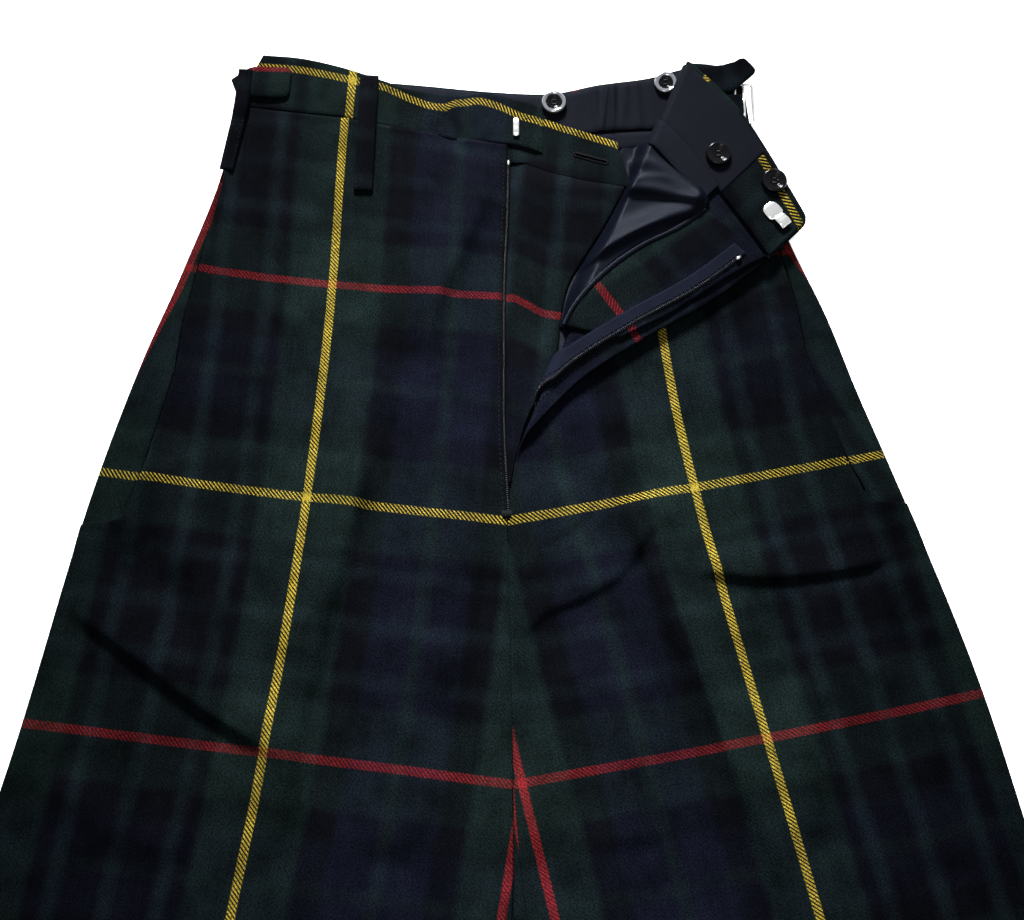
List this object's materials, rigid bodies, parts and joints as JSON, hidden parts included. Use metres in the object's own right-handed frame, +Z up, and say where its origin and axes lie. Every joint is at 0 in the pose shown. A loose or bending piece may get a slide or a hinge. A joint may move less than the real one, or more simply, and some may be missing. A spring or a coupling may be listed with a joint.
{
  "type": "tartan trews",
  "caption": "Heavy wool tartan trousers laid flat, front up, with the zip fly open and its left part folded back to show the lining, buttons and hook.",
  "frame": {"origin": "centre of the garment's outline, on the surface that it lies on", "axes": "+Z up from the surface, +Y towards the waist, -X towards the wearer's right leg"},
  "size_m": [0.697, 1.0581, 0.0169],
  "materials": {
    "tartan_wool": "heavy twill wool with a short nap, green, navy and black with red and yellow lines",
    "black_lining": "close plain weave with a slight sheen",
    "black_satin": "smooth satin with soft highlights",
    "zip_tape": "matte ribbed tape",
    "nickel": "bright nickel plate",
    "black_button": "polished, with a worn rim"
  },
  "bodies": {
    "root": {"back_right": "tartan_wool", "back_left": "tartan_wool", "waistband_back": "tartan_wool", "waistband_lining_back": "black_lining", "waistband_curtain_back": "black_lining", "front_right": "tartan_wool", "front_left": "tartan_wool", "waistband_front_right": "tartan_wool", "waistband_underlap_right": "tartan_wool", "waistband_front_left": "tartan_wool", "waistband_lining_front_left": "black_lining", "waistband_curtain_front_left": "black_lining", "waistband_end_facing_left": "tartan_wool", "fly_shield": "tartan_wool", "fly_facing_left": "tartan_wool", "zip_tape_right": "zip_tape", "zip_tape_left": "zip_tape", "pocket_facing_right": "tartan_wool", "pocket_facing_left": "tartan_wool", "pocket_bag_left": "black_satin", "pocketing_left": "black_satin", "belt_loop_front_right": "tartan_wool", "belt_loop_side_right": "tartan_wool", "belt_loop_side_left": "tartan_wool", "adjuster_strap_right": "tartan_wool", "adjuster_strap_left": "tartan_wool", "brace_button_back": "black_button", "brace_button_side": "black_button", "brace_button_front_left": "black_button", "inner_button_left": "black_button", "trouser_hook_left": "nickel", "hook_bar_right": "nickel", "adjuster_buckle_left": "nickel"}
  },
  "joints": []
}
